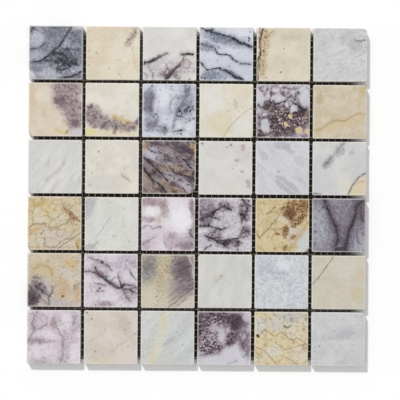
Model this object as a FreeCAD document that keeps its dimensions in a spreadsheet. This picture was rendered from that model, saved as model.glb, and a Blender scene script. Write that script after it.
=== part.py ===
import FreeCAD, Part
import math
import os
import Sketcher

# Mosaic tile sheet: thirty-six square marble tiles bonded face up on a glass-fibre net, lying flat
# Millimetres; +X runs to the right, +Y to the far edge, +Z up, origin under the middle of the sheet

os.makedirs("parts", exist_ok=True)
doc = FreeCAD.newDocument("MosaicTileSheet")
table = doc.addObject("Spreadsheet::Sheet", "Sizes")

# Every size that can be chosen on its own
sizes = {
    "columns": 6,
    "rows": 6,
    "tile_side": 48.0,
    "tile_thickness": 10.0,
    "joint_width": 2.8,
    "laying_drift": 0.2,
    "arris_width": 0.7,
    "corner_nip": 0.3,
    "warp_width": 0.8,
    "warp_thickness": 0.25,
    "warp_spacing": 5.8,
    "warp_shift": -1.4,
    "weft_width": 0.8,
    "weft_thickness": 0.25,
    "weft_spacing": 6.2,
    "weft_shift": 0.7,
    "net_inset_side": 6.5,
    "net_inset_end": 3.5,
}
for row, (name, value) in enumerate(sizes.items(), start=1):
    table.set("A%d" % row, name)
    table.set("B%d" % row, str(value))
    table.setAlias("B%d" % row, name)
doc.recompute()

# What follows from them, written once and used for tiles and net alike
columns = int(table.get("columns"))
rows = int(table.get("rows"))
PITCH = "(Sizes.tile_side + Sizes.joint_width)"
SHEET_WIDTH = "(%s * Sizes.columns - Sizes.joint_width)" % PITCH
SHEET_LENGTH = "(%s * Sizes.rows - Sizes.joint_width)" % PITCH
NET_WIDTH = "(%s - 2 * Sizes.net_inset_side)" % SHEET_WIDTH
NET_LENGTH = "(%s - 2 * Sizes.net_inset_end)" % SHEET_LENGTH
NET_THICKNESS = "(Sizes.weft_thickness + Sizes.warp_thickness)"
WARP_COUNT = "(floor(%s / Sizes.warp_spacing) + 1)" % NET_WIDTH
WEFT_COUNT = "(floor(%s / Sizes.weft_spacing) + 1)" % NET_LENGTH


def centred_rectangle(body, name, width, depth):
    """Draw a rectangle about the origin of the body's ground plane, its two sizes given as formulas."""
    ground = [plane for plane in body.Origin.OriginFeatures if plane.Role == "XY_Plane"][0]
    sketch = body.newObject("Sketcher::SketchObject", name)
    sketch.AttachmentSupport = (ground, [""])
    sketch.MapMode = "FlatFace"
    corners = [(-1, -1), (1, -1), (1, 1), (-1, 1)]
    points = [FreeCAD.Vector(10 * x, 10 * y, 0) for x, y in corners]
    for index in range(4):
        sketch.addGeometry(Part.LineSegment(points[index], points[(index + 1) % 4]), False)
    for index in range(4):
        sketch.addConstraint(Sketcher.Constraint("Coincident", index, 2, (index + 1) % 4, 1))
    for index in (0, 2):
        sketch.addConstraint(Sketcher.Constraint("Horizontal", index))
    for index in (1, 3):
        sketch.addConstraint(Sketcher.Constraint("Vertical", index))
    sketch.addConstraint(Sketcher.Constraint("Symmetric", 0, 1, 2, 1, -1, 1))
    wide = sketch.addConstraint(Sketcher.Constraint("DistanceX", 0, 1, 0, 2, 20))
    deep = sketch.addConstraint(Sketcher.Constraint("DistanceY", 1, 1, 1, 2, 20))
    sketch.renameConstraint(wide, "width")
    sketch.renameConstraint(deep, "depth")
    sketch.setExpression("Constraints.width", width)
    sketch.setExpression("Constraints.depth", depth)
    return sketch


def upright_edges(shape):
    """Name the edges that stand upright."""
    names = []
    for index, edge in enumerate(shape.Edges, start=1):
        first, last = edge.Vertexes[0].Point, edge.Vertexes[-1].Point
        if abs(first.x - last.x) < 1e-6 and abs(first.y - last.y) < 1e-6:
            names.append("Edge%d" % index)
    return names


def crown_edges(shape):
    """Name the edges that lie all round the upper face."""
    top = shape.BoundBox.ZMax
    names = []
    for index, edge in enumerate(shape.Edges, start=1):
        if all(abs(vertex.Point.z - top) < 1e-6 for vertex in edge.Vertexes):
            names.append("Edge%d" % index)
    return names


# Marble tiles: sawn square, upright corners nipped off, arris of the polished face eased
# The outer edges of the sheet are laid to a straightedge; inside it each tile wanders a little
tiles = []
for row in range(rows):
    for column in range(columns):
        body = doc.addObject("PartDesign::Body", "tile_r%d_c%d" % (row + 1, column + 1))
        body.Label = "tile_r%d_c%d" % (row + 1, column + 1)
        face = centred_rectangle(body, "TileFace", "Sizes.tile_side", "Sizes.tile_side")
        slab = body.newObject("PartDesign::Pad", "TileSlab")
        slab.Profile = face
        slab.setExpression("Length", "Sizes.tile_thickness")
        doc.recompute([face, slab])
        corners = body.newObject("PartDesign::Chamfer", "TileCorners")
        corners.Base = (slab, upright_edges(slab.Shape))
        corners.setExpression("Size", "Sizes.arris_width + Sizes.corner_nip")
        doc.recompute([corners])
        arris = body.newObject("PartDesign::Chamfer", "TileArris")
        arris.Base = (corners, crown_edges(corners.Shape))
        arris.setExpression("Size", "Sizes.arris_width")
        body.Tip = arris

        across = 0 if column in (0, columns - 1) else round(math.sin(2.4 * row + 1.7 * column), 3)
        along = 0 if row in (0, rows - 1) else round(math.sin(1.9 * row - 2.2 * column + 1.0), 3)
        body.setExpression("Placement.Base.x", "%s * (%d - (Sizes.columns - 1) / 2) + Sizes.laying_drift * (%s)"
                           % (PITCH, column, across))
        body.setExpression("Placement.Base.y", "%s * ((Sizes.rows - 1) / 2 - %d) + Sizes.laying_drift * (%s)"
                           % (PITCH, row, along))
        body.setExpression("Placement.Base.z", NET_THICKNESS)
        tiles.append(body)

# Weft of the net: glass yarns running left to right, the lowest layer, the one that rests on the floor
weft = doc.addObject("PartDesign::Body", "net_weft")
weft.Label = "net_weft"
weft.AllowCompound = True
weft_outline = centred_rectangle(weft, "WeftOutline", NET_WIDTH, "Sizes.weft_width")
weft_yarn = weft.newObject("PartDesign::Pad", "WeftYarn")
weft_yarn.Profile = weft_outline
weft_yarn.setExpression("Length", "Sizes.weft_thickness")
weft_rows = weft.newObject("PartDesign::LinearPattern", "WeftRows")
weft_rows.Originals = [weft_yarn]
weft_rows.Direction = (weft_outline, ["V_Axis"])
weft_rows.Mode = "Spacing"
weft_rows.setExpression("Offset", "Sizes.weft_spacing")
weft_rows.setExpression("Occurrences", WEFT_COUNT)
weft.Tip = weft_rows
weft.setExpression("Placement.Base.x", "Sizes.warp_shift")
weft.setExpression("Placement.Base.y", "Sizes.weft_shift - (%s - 1) / 2 * Sizes.weft_spacing" % WEFT_COUNT)

# Warp of the net: glass yarns running front to back, laid across the weft and bonded under the tiles
warp = doc.addObject("PartDesign::Body", "net_warp")
warp.Label = "net_warp"
warp.AllowCompound = True
warp_outline = centred_rectangle(warp, "WarpOutline", "Sizes.warp_width", NET_LENGTH)
warp_yarn = warp.newObject("PartDesign::Pad", "WarpYarn")
warp_yarn.Profile = warp_outline
warp_yarn.setExpression("Length", "Sizes.warp_thickness")
warp_rows = warp.newObject("PartDesign::LinearPattern", "WarpRows")
warp_rows.Originals = [warp_yarn]
warp_rows.Direction = (warp_outline, ["H_Axis"])
warp_rows.Mode = "Spacing"
warp_rows.setExpression("Offset", "Sizes.warp_spacing")
warp_rows.setExpression("Occurrences", WARP_COUNT)
warp.Tip = warp_rows
warp.setExpression("Placement.Base.x", "Sizes.warp_shift - (%s - 1) / 2 * Sizes.warp_spacing" % WARP_COUNT)
warp.setExpression("Placement.Base.y", "Sizes.weft_shift")
warp.setExpression("Placement.Base.z", "Sizes.weft_thickness")

# Everything has to be sound before it is written
doc.recompute()
for item in doc.Objects:
    if "Invalid" in item.State or "Error" in item.State:
        raise RuntimeError("%s did not rebuild" % item.Label)
for body in tiles + [weft, warp]:
    if body.Shape.isNull() or not body.Shape.isValid():
        raise RuntimeError("%s has no sound shape" % body.Label)
for body in tiles + [weft, warp]:
    body.Shape.exportStep("parts/%s.step" % body.Label)
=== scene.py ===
import math

import bpy
import numpy as np
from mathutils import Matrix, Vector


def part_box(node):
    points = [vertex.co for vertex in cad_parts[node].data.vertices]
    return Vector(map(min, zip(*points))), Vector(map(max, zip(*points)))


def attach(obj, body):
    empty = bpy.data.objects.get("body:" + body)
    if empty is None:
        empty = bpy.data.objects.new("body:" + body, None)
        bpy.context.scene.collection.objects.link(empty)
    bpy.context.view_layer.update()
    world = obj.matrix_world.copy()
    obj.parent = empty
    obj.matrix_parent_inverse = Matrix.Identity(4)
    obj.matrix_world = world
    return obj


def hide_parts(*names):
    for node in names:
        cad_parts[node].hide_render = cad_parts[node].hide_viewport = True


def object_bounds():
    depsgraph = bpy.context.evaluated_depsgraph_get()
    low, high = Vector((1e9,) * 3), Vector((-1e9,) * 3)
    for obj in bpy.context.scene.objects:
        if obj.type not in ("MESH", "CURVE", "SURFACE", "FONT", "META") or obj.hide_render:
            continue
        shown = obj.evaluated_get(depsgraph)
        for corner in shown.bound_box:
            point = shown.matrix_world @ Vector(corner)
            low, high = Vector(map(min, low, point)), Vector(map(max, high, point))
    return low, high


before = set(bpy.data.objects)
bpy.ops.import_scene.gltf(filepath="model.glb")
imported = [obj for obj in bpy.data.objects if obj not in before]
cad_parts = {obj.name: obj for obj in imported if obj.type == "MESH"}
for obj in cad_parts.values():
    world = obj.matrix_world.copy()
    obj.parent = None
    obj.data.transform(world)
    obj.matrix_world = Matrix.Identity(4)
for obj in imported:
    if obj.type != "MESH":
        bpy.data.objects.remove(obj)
cad_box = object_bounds()

# Picture: the sheet lies on a white table and is seen from straight above, a little turned
# The camera hangs far up, so that the sides of the tiles hardly show
MM = 0.001
PICTURE_PIXELS = 400
PIXELS_PER_METRE = 1120.0
SENSOR_WIDTH = 36.0
CAMERA_RISE = 2.2
CAMERA_TURN = 0.45
sheet_low, sheet_high = cad_box


def add_object(name, data):
    """Make an object of some data and put it into the scene."""
    made = bpy.data.objects.new(name, data)
    bpy.context.scene.collection.objects.link(made)
    return made


camera_data = bpy.data.cameras.new("camera")
camera_data.sensor_width = SENSOR_WIDTH
camera_data.lens = SENSOR_WIDTH * CAMERA_RISE * PIXELS_PER_METRE / PICTURE_PIXELS
camera_data.clip_end = 50.0
camera = add_object("camera", camera_data)
camera.location = (2.7 * MM, -3.6 * MM, sheet_high[2] + CAMERA_RISE)
camera.rotation_euler = (0.0, 0.0, math.radians(CAMERA_TURN))
bpy.context.scene.camera = camera
bpy.context.scene.view_settings.view_transform = "Standard"

# Table: a wide white sheet under the tiles, plain as a picture's ground
# What lies right under the net is dark, so the joints look as deep and black as in the photograph
# This painted shade fades out before each edge of the sheet, over a longer way at the right and at the far
# side
TABLE_HALF = 3.0
TABLE_DROP = 0.1 * MM
TABLE_WHITE = (0.8, 0.8, 0.8, 1.0)
PURE_WHITE = (1.0, 1.0, 1.0, 1.0)
# Painted shade: the dark colour under the net stands in for the shade deep in the joints
PAINTED_JOINT_SHADE = (0.060, 0.048, 0.037, 1.0)
WANDER = 4 * MM


class Wire:
    """A node's output that joins in sums: each operation on it adds the node that works it out."""

    def __init__(self, tree, output=None):
        self.tree = tree
        self.output = output

    def node(self, kind, settings=None, sockets=None, out=0):
        """Add a node of a kind, give it its settings, then the value or the link of each input."""
        made = self.tree.nodes.new("ShaderNode" + kind)
        for key, value in (settings or {}).items():
            setattr(made, key, value)
        for key, value in (sockets or {}).items():
            if isinstance(value, Wire):
                self.tree.links.new(value.output, made.inputs[key])
            else:
                made.inputs[key].default_value = value
        return Wire(self.tree, made.outputs[out])

    def part(self, out):
        """Another output of the node that this one comes from."""
        return Wire(self.tree, self.output.node.outputs[out])

    def math(self, operation, *others):
        """An operation on this value and on others."""
        return self.node("Math", {"operation": operation}, dict(enumerate((self, *others))))

    def vector(self, operation, *others, out=0):
        """An operation on this vector and on others."""
        return self.node("VectorMath", {"operation": operation}, dict(enumerate((self, *others))), out)

    def __add__(self, other):
        return self.math("ADD", other)

    def __sub__(self, other):
        return self.math("SUBTRACT", other)

    def __rsub__(self, other):
        return self.node("Math", {"operation": "SUBTRACT"}, {0: other, 1: self})

    def __mul__(self, other):
        return self.math("MULTIPLY", other)

    __radd__ = __add__
    __rmul__ = __mul__

    def mapped(self, kind, move=(0.0, 0.0, 0.0), turn=0.0, size=(1.0, 1.0, 1.0)):
        """This place scaled, turned and moved. For the kind TEXTURE it is the pattern there that is."""
        return self.node("Mapping", {"vector_type": kind},
                         {0: self, 1: move, 2: (0.0, 0.0, math.radians(turn)), 3: size})

    def stretched(self, by, turn):
        """This place squeezed along a direction, so that a pattern that reads it comes out stretched."""
        return self if by == 1 else self.mapped("TEXTURE", turn=turn, size=(by, 1.0, 1.0))

    def fade(self, full, gone, most=1.0, least=0.0):
        """A smooth step that is most where the value is at full, and least where it is at gone."""
        return self.node("MapRange", {"interpolation_type": "SMOOTHSTEP"},
                         {0: self, 1: full, 2: gone, 3: most, 4: least})

    def mix(self, colour, other):
        """The first colour where this share is 0, the other where it is 1, and between them in between."""
        return self.node("Mix", {"data_type": "RGBA"}, {0: self, 6: colour, 7: other}, out=2)

    def lead(self, shader, socket):
        """Lead this to one socket of a shader."""
        self.tree.links.new(self.output, shader.inputs[socket])


def new_material(name, specular):
    """An empty surface material, its shader node and the object's own coordinates to build on."""
    material = bpy.data.materials.new(name)
    material.use_nodes = True
    shader = material.node_tree.nodes["Principled BSDF"]
    shader.inputs["Specular IOR Level"].default_value = specular
    place = Wire(material.node_tree).node("TexCoord", out=3)
    return material, shader, place


def seen_rays(start):
    """1 for a ray that shows the ground itself: from the camera, off a gloss or through something clear."""
    rays = start.node("LightPath")
    return rays.math("MAXIMUM", rays.part("Is Glossy Ray")).math("MAXIMUM", rays.part("Is Transmission Ray"))


table_mesh = bpy.data.meshes.new("table")
table_corners = np.array([(-1, -1), (1, -1), (1, 1), (-1, 1)]) * TABLE_HALF
table_mesh.from_pydata([(x, y, -TABLE_DROP) for x, y in table_corners], [], [(0, 1, 2, 3)])
table = add_object("table", table_mesh)
table_paint, table_shader, place = new_material("white_table", 0.0)
table_shader.inputs["Roughness"].default_value = 0.9
wander = (place.node("TexNoise", {}, {"Vector": place, "Scale": 60.0, "Detail": 2.0}) - 0.5) * WANDER
right = place.node("SeparateXYZ", {}, {0: place})
up = right.part(1)
shade = 1.0
# How far in mm from each edge of the sheet the painted shade is full, and how far from it the painted shade
# is gone
for across, edge, full, gone in (
        (right, sheet_high[0], -16.5, -4.5), (right, sheet_low[0], 6.5, 1.5),
        (up, sheet_high[1], -10.5, -3.5), (up, sheet_low[1], 5.5, 3.5)):
    shade = shade * (across + wander).fade(edge + full * MM, edge + gone * MM)
white = seen_rays(place).mix(TABLE_WHITE, PURE_WHITE)
shade.mix(white, PAINTED_JOINT_SHADE).lead(table_shader, "Base Color")
table_mesh.materials.append(table_paint)

# Light: a broad lamp up at the far left, and an even white room for the rest
# Together they light a level surface by one, so a colour renders about as it is written
KEY_SHARE = 0.42
KEY_WIDTH = 5.0
KEY_FROM = np.array([-3.6, 6.5, 10.5])
key_way = KEY_FROM / np.linalg.norm(KEY_FROM)
lamp_data = bpy.data.lights.new("key_lamp", "SUN")
lamp_data.energy = KEY_SHARE * math.pi / key_way[2]
lamp_data.angle = math.radians(KEY_WIDTH)
lamp = add_object("key_lamp", lamp_data)
lamp.rotation_euler = (math.acos(key_way[2]), 0.0, math.atan2(key_way[1], key_way[0]) + math.pi / 2)
room = bpy.data.worlds.new("room")
bpy.context.scene.world = room
room.use_nodes = True
backdrop = room.node_tree.nodes["Background"]
backdrop.inputs["Color"].default_value = PURE_WHITE
(seen_rays(Wire(room.node_tree)) * KEY_SHARE + (1.0 - KEY_SHARE)).lead(backdrop, "Strength")

# Marble tiles: small squares sawn from many different slabs, honed on the face and left as sawn behind
# Their arrises are rubbed off by tumbling, some corners are chipped, and each is glued to the net alone
SIDE_POINTS = 56
CORNER_POINTS = 5
CORNER_RADIUS = 1.2 * MM
# Rings of the back and the sides as height and inset in mm, and the insets of the rings of the face
BACK_AND_SIDES = ((0.0, 6.0), (0.0, 0.5), (0.15, 0.0), (3.0, 0.0), (6.5, 0.0))
ARRIS_RINGS = 6
FACE_INSETS = (1.3, 2.0, 3.2, 6.0, 12.0)
# In mm: how far the rubbed arris reaches in and down and by how much that wavers, and how uneven a side is
ARRIS_IN, ARRIS_IN_WAVER = 0.72, 0.16
ARRIS_DOWN, ARRIS_DOWN_WAVER = 0.62, 0.14
SIDE_WAVER = 0.07
ARRIS_WAVES = 40
SIDE_WAVES = 9
# A chip's depth and its extra drop are shares of its size, and its reach in height is larger than across
CHIP_DEPTH = 0.55
CHIP_DROP = 0.9
CHIP_REACH = (1, 1, 0.35)
TILES_IN_A_ROW = 6
# In mm: how far patterns are bent, how deep a stain goes, where the pale rim of rubbed wear and painted
# highlight and the sawn side begin
BEND = 7.0
SLIGHT_BEND = 2.4
STAIN_DEPTH = 40.0
RUBBED_AND_LIT_FROM, RUBBED_AND_LIT_FULL = 22.75, 23.35
SAWN_FROM, SAWN_FULL = -0.5, -1.2
FLATTEN = (1.0, 1.0, 0.0)
DARK_GRAIN = (0.02, 0.018, 0.02, 1.0)
PALE_GRAIN = (0.9, 0.89, 0.9, 1.0)
SAWN_DUST = (0.75, 0.74, 0.72, 1.0)
RUBBED_AND_LIT_EDGE = (236, 233, 228)


def ring_path(half):
    """The way round a tile: straight runs and quarter turns.

    Returns the points of the inner square that the corners turn about, and the outward direction at each.
    """
    turns = np.arange(4)
    centres = np.stack([np.where((turns == 0) | (turns == 3), 1, -1), np.where(turns < 2, 1, -1)], 1)
    centres = centres * (half - CORNER_RADIUS)
    angles = turns[:, None] * np.pi / 2 + np.linspace(0, np.pi / 2, CORNER_POINTS)
    arcs = np.repeat(centres[:, None], CORNER_POINTS, 1)
    share = np.linspace(0, 1, SIDE_POINTS + 2)[1:-1, None]
    runs = centres[:, None] * (1 - share) + np.roll(centres, -1, 0)[:, None] * share
    run_angles = np.repeat((turns[:, None] + 1) * np.pi / 2, SIDE_POINTS, 1)
    base = np.concatenate([arcs, runs], 1).reshape(-1, 2)
    angles = np.concatenate([angles, run_angles], 1).reshape(-1)
    return base, np.stack([np.cos(angles), np.sin(angles)], 1)


def wavering(count, waves, draw):
    """A closed uneven line about zero: sine waves of random phase, each weaker as it gets shorter."""
    turn = np.linspace(0, 2 * np.pi, count, endpoint=False)
    numbers = np.arange(1, waves + 1)
    phases = draw.uniform(0, 2 * np.pi, waves)
    heights = draw.uniform(0.4, 1.0, waves) / np.sqrt(numbers)
    line = (heights * np.sin(turn[:, None] * numbers + phases)).sum(1)
    return line / np.abs(line).max()


def tile_rings(low, high, chips, draw):
    """Rings from the middle of the back, out, up the sides, over the arris and in to the middle of the face.

    A ring is the way round the tile drawn in by its inset. The inset of a side ring wavers a little, and over
    the arris inset and height follow a quarter of an ellipse, whose size wavers more. A chip pushes what is
    near its centre inward and, high up, down too, by a bell curve of the distance that is long in height.
    """
    middle = (low + high) / 2
    half = (high[0] - low[0]) / 2
    base, outward = ring_path(half)
    count = len(base)
    sawn = SIDE_WAVER * MM * (1 + wavering(count, SIDE_WAVES, draw))
    worn = (ARRIS_IN + ARRIS_IN_WAVER * wavering(count, ARRIS_WAVES, draw)) * MM
    dropped = (ARRIS_DOWN + ARRIS_DOWN_WAVER * wavering(count, ARRIS_WAVES, draw)) * MM
    heights = [np.full(count, low[2] + height * MM) for height, inset in BACK_AND_SIDES]
    insets = [sawn + inset * MM for height, inset in BACK_AND_SIDES]
    for quarter in np.linspace(0, np.pi / 2, ARRIS_RINGS):
        heights.append(high[2] - dropped * (1 - np.sin(quarter)))
        insets.append(sawn + worn * (1 - np.cos(quarter)))
    for inset in FACE_INSETS:
        heights.append(np.full(count, high[2]))
        insets.append(np.full(count, inset * MM))
    heights, insets = np.array(heights), np.array(insets)
    shrink = np.maximum(insets - CORNER_RADIUS * 0.8, 0)
    flat = (base * (1 - shrink / (half - CORNER_RADIUS))[..., None]
            + outward * (CORNER_RADIUS - insets + shrink)[..., None])
    rings = np.concatenate([flat + middle[:2], heights[..., None]], 2)
    rough = draw.normal(0, 1, rings.shape[:2])
    for right, up, size in chips:
        centre = np.array([middle[0] + right * MM, middle[1] + up * MM, high[2]])
        apart = (rings - centre) / (size * MM) * CHIP_REACH
        bell = np.exp(-1.5 * (apart ** 2).sum(2)) * (1 + 0.12 * rough)
        push = bell * size * CHIP_DEPTH * MM
        inward = middle[:2] - centre[:2]
        level = (rings[..., 2] - low[2]) / (high[2] - low[2])
        rings[..., :2] += push[..., None] * inward / np.linalg.norm(inward)
        rings[..., 2] -= push * CHIP_DROP * level
    return rings


def smooth_mesh(name, points, faces, crease):
    """A mesh that is shaded smooth, except where its faces meet at more than the crease, in degrees."""
    mesh = bpy.data.meshes.new(name)
    mesh.from_pydata(points.reshape(-1, 3).tolist(), [], faces)
    mesh.update()
    mesh.shade_smooth()
    mesh.set_sharp_from_angle(angle=math.radians(crease))
    return mesh


def closed_mesh(name, rings, ends):
    """A mesh of four-sided faces between neighbouring rings, each end closed by a fan to its end point."""
    depth, count = rings.shape[:2]
    numbers = np.arange(depth * count).reshape(depth, count)
    onward = np.roll(numbers, -1, 1)
    walls = np.stack([numbers[:-1], onward[:-1], onward[1:], numbers[1:]], 2).reshape(-1, 4)
    first, last = depth * count, depth * count + 1
    back = np.stack([onward[0], numbers[0], np.full(count, first)], 1)
    face = np.stack([numbers[-1], onward[-1], np.full(count, last)], 1)
    points = np.concatenate([rings.reshape(-1, 3), ends])
    return smooth_mesh(name, points, walls.tolist() + back.tolist() + face.tolist(), 32)


def paint(red, green, blue):
    """A colour as seen in a picture, 0 to 255 for each part, as the linear colour of a surface."""
    seen = np.array([red, green, blue]) / 255.0
    linear = np.where(seen <= 0.04045, seen / 12.92, ((seen + 0.055) / 1.055) ** 2.4)
    return (*linear.tolist(), 1.0)


class Marble:
    """The stone of one tile. Each call lays one more pattern over its colour; sizes are mm from its middle.

    An oval is its middle, its two radii and, where it is turned, its turn in degrees.
    """

    def __init__(self, name, low, high, number):
        self.material, self.shader, place = new_material(name, 0.2)
        middle = (low + high) / 2
        centre = (-middle[0] / MM, -middle[1] / MM, -high[2] / MM)
        self.place = place.mapped("POINT", centre, size=(1 / MM, 1 / MM, 1 / MM))
        offset = (number * 61.7, number * 23.1, number * 11.3)
        self.own = self.place.mapped("POINT", offset)
        drift = self.noise(0.11, 7, 0.66, out=1).vector("SUBTRACT", (0.5, 0.5, 0.5))
        self.bent = drift.vector("MULTIPLY_ADD", (BEND, BEND, BEND), self.place)
        self.flat = self.bent.vector("MULTIPLY", FLATTEN)
        steady = drift.vector("MULTIPLY_ADD", (SLIGHT_BEND, SLIGHT_BEND, SLIGHT_BEND), self.place)
        self.steady = steady.vector("MULTIPLY", FLATTEN)
        self.own_bent = self.bent.mapped("POINT", offset)
        self.ragged = self.noise(0.3, 7, 0.72)
        self.swell = self.noise(0.17, 5, 0.68)
        self.broken = self.noise(0.45, 4, 0.68)

    def noise(self, scale, detail, roughness, stretch=1, turn=0, out=0):
        """Fractal noise through the stone, in features of about 1 / scale mm, stretched along a direction."""
        place = self.own.stretched(stretch, turn)
        sockets = {"Vector": place, "Scale": scale, "Detail": detail, "Roughness": roughness}
        return place.node("TexNoise", {}, sockets, out)

    def ground(self, colour, other, size=14, stretch=1, turn=0):
        """Two near colours in soft clouds."""
        share = self.noise(1 / size, 5, 0.6, stretch, turn).fade(0.64, 0.36)
        self.colour = share.mix(paint(*colour), paint(*other))

    def lay(self, tint, share, within=None):
        """Mix a tint into the colour by a share, and only within a mask or ovals where they are given."""
        if within:
            share = share * self.mask(within)
        self.colour = share.mix(self.colour, paint(*tint))

    def patch(self, oval, most=1, ragged=1.3, soft=0.5):
        """The mask of a ragged oval: 1 inside, 0 outside, by the distance from its middle in its radii."""
        turn = oval[4] if len(oval) == 5 else 0
        way = self.bent.mapped("TEXTURE", (*oval[:2], 0.0), turn, (*oval[2:4], STAIN_DEPTH))
        far = way.vector("LENGTH", out=1) + (self.ragged - 0.5) * ragged
        return far.fade(1 - soft, 1 + soft * 0.6, most)

    def mask(self, within):
        """The mask of several ragged ovals together; a mask that is made already stays as it is."""
        if isinstance(within, Wire):
            return within
        whole = self.patch(within[0])
        for oval in within[1:]:
            whole = whole.math("MAXIMUM", self.patch(oval))
        return whole

    def stain(self, tint, oval, most=1, ragged=1.3, soft=0.5):
        """A ragged oval of a tint."""
        self.lay(tint, self.patch(oval, most, ragged, soft))

    def cloud(self, tint, size, begins, full, most=1, stretch=1, turn=0, within=None):
        """Clouds of a tint where the noise passes from begins to full."""
        self.lay(tint, self.noise(1 / size, 5, 0.62, stretch, turn).fade(full, begins, most), within)

    def fill(self, tint, within, most, *clouds):
        """An area of a tint, and in it clouds of others. Returns the mask of the area."""
        mask = self.mask(within)
        self.lay(tint, mask * most)
        for cloud in clouds:
            self.cloud(*cloud, within=mask)
        return mask

    def specks(self, tint, spots, most=1):
        """Small spots, each given by its place and radius, by the least distance in radii."""
        nearest = None
        for right, up, radius in spots:
            far = self.flat.vector("DISTANCE", (right, up, 0.0), out=1) * (1 / radius)
            nearest = nearest.math("MINIMUM", far) if nearest else far
        self.lay(tint, (nearest + (self.ragged - 0.5) * 0.9).fade(0.5, 1.2, most))

    def vein(self, tint, path, width, most=1, inner=0.3, uneven=1.6, halo=0.3, flat=None):
        """A line of a tint along a path, by the least distance from its runs.

        It swells, thins and pales with the noise, and a faint halo of it spreads to three times its width.
        """
        flat = flat or self.flat
        nearest = None
        for (x0, y0), (x1, y1) in zip(path[:-1], path[1:]):
            run = np.array([x1 - x0, y1 - y0, 0.0])
            pull = run / (run ** 2).sum()
            share = flat.vector("DOT_PRODUCT", pull.tolist(), out=1)
            share = share.node("Math", {"operation": "SUBTRACT", "use_clamp": True},
                               {0: share, 1: float(pull[0] * x0 + pull[1] * y0)})
            foot = share.vector("MULTIPLY_ADD", run.tolist(), (x0, y0, 0.0))
            away = flat.vector("DISTANCE", foot, out=1)
            nearest = nearest.math("MINIMUM", away) if nearest else away
        spread = nearest * (self.swell * uneven + (1 - uneven / 2))
        core = spread.fade(width * inner, width * 0.9, most) * self.broken.fade(0.62, 0.42, 0.6, 1.0)
        around = (nearest + (self.ragged - 0.5) * width * 2).fade(0.0, width * 3, most * halo)
        self.lay(tint, core.math("MAXIMUM", around))

    def crack(self, tint, path, width, most=1, halo=0.15):
        """A fine vein that is bent less than others and has less of a halo."""
        self.vein(tint, path, width, most, halo=halo, flat=self.steady)

    def cells(self, cell, feature, out=0, stretch=1, turn=0):
        """Random cells of a size in mm: a feature of them, such as the distance from the nearest border."""
        place = self.own_bent.stretched(stretch, turn)
        return place.node("TexVoronoi", {"feature": feature}, {"Vector": place, "Scale": 1 / cell}, out)

    def web(self, tint, cell, width, most=1, within=None, keep=(0.45, 0.6), stretch=1, turn=0):
        """A net of fine lines: the borders between random cells, kept only where the noise is high."""
        edge = self.cells(cell, "DISTANCE_TO_EDGE", stretch=stretch, turn=turn)
        share = edge.fade(0.2 * width / cell, 0.9 * width / cell, most)
        if keep:
            share = share * self.swell.fade(keep[1], keep[0])
        self.lay(tint, share, within)

    def clasts(self, tints, cell, within, most, inner, outer):
        """Broken pieces of other stone: random cells, each of one of the tints, set in the colour so far."""
        kind = self.cells(cell, "F1", out=1)
        kind = kind.node("SeparateColor", {}, {0: kind})
        stone = kind.node("ValToRGB", {}, {0: kind})
        ramp = stone.output.node.color_ramp
        ramp.interpolation = "CONSTANT"
        for index, tint in enumerate(tints):
            stop = ramp.elements[index] if index < 2 else ramp.elements.new(index / len(tints))
            stop.position = index / len(tints)
            stop.color = paint(*tint)
        share = (self.cells(cell, "DISTANCE_TO_EDGE") + (self.ragged - 0.5) * 0.08).fade(inner, outer, most)
        self.colour = (share * self.mask(within)).mix(self.colour, stone)

    def finish(self, mottled=1):
        """The grain, the rubbed arris with its paler rim, partly wear and partly a painted highlight, and the
        gloss of every tile; mottled says how strong the grain is.
        """
        grain = self.noise(2.4, 3, 0.7)
        mottle = self.noise(0.55, 7, 0.78)
        shaded = mottle.fade(0.34, 0.5, 0.10 * mottled) + grain.fade(0.25, 0.6, 0.05 * mottled)
        colour = shaded.mix(self.colour, DARK_GRAIN)
        light = colour.node("RGBToBW", {}, {0: colour})
        frost = mottle.fade(0.66, 0.5, 0.12 * mottled) * light.fade(0.3, 0.0, 1.0, 0.4)
        colour = frost.mix(colour, PALE_GRAIN)
        split = self.place.node("SeparateXYZ", {}, {0: self.place})
        reach = split.math("ABSOLUTE").math("MAXIMUM", split.part(1).math("ABSOLUTE"))
        # Wear and painted highlight: the rim of the face is painted paler all round, partly the rubbed arris
        # and partly a painted highlight along it
        rubbed_and_lit = (reach + (self.ragged - 0.5) * 0.5).fade(RUBBED_AND_LIT_FULL, RUBBED_AND_LIT_FROM, 0.45)
        colour = rubbed_and_lit.mix(colour, paint(*RUBBED_AND_LIT_EDGE))
        sawn = split.part(2).fade(SAWN_FULL, SAWN_FROM)
        (sawn * 0.18).mix(colour, SAWN_DUST).lead(self.shader, "Base Color")
        (grain * 0.10 + self.ragged * 0.16 + sawn * 0.35 + 0.24).lead(self.shader, "Roughness")
        relief = grain * 0.35 + self.ragged + sawn * grain * 2.0
        bump = relief.node("Bump", {}, {"Strength": 0.35, "Distance": 0.06 * MM, "Height": relief})
        bump.lead(self.shader, "Normal")


def lay_tile(row, column, colour, other, size=14, stretch=1, turn=0, chips=()):
    """Make one tile in the place of its solid, of a stone of two colours, and return it for its pattern."""
    node = "tile_r%d_c%d" % (row, column)
    low, high = (np.array(corner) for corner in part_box(node))
    number = TILES_IN_A_ROW * row + column
    rings = tile_rings(low, high, chips, np.random.default_rng(number))
    middle = (low + high) / 2
    mesh = closed_mesh(node + "_stone", rings, [(*middle[:2], low[2]), (*middle[:2], high[2])])
    piece = add_object(node + "_stone", mesh)
    stone = Marble(node + "_marble", low, high, number)
    stone.ground(colour, other, size, stretch, turn)
    mesh.materials.append(stone.material)
    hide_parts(node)
    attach(piece, "root")
    return stone


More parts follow.
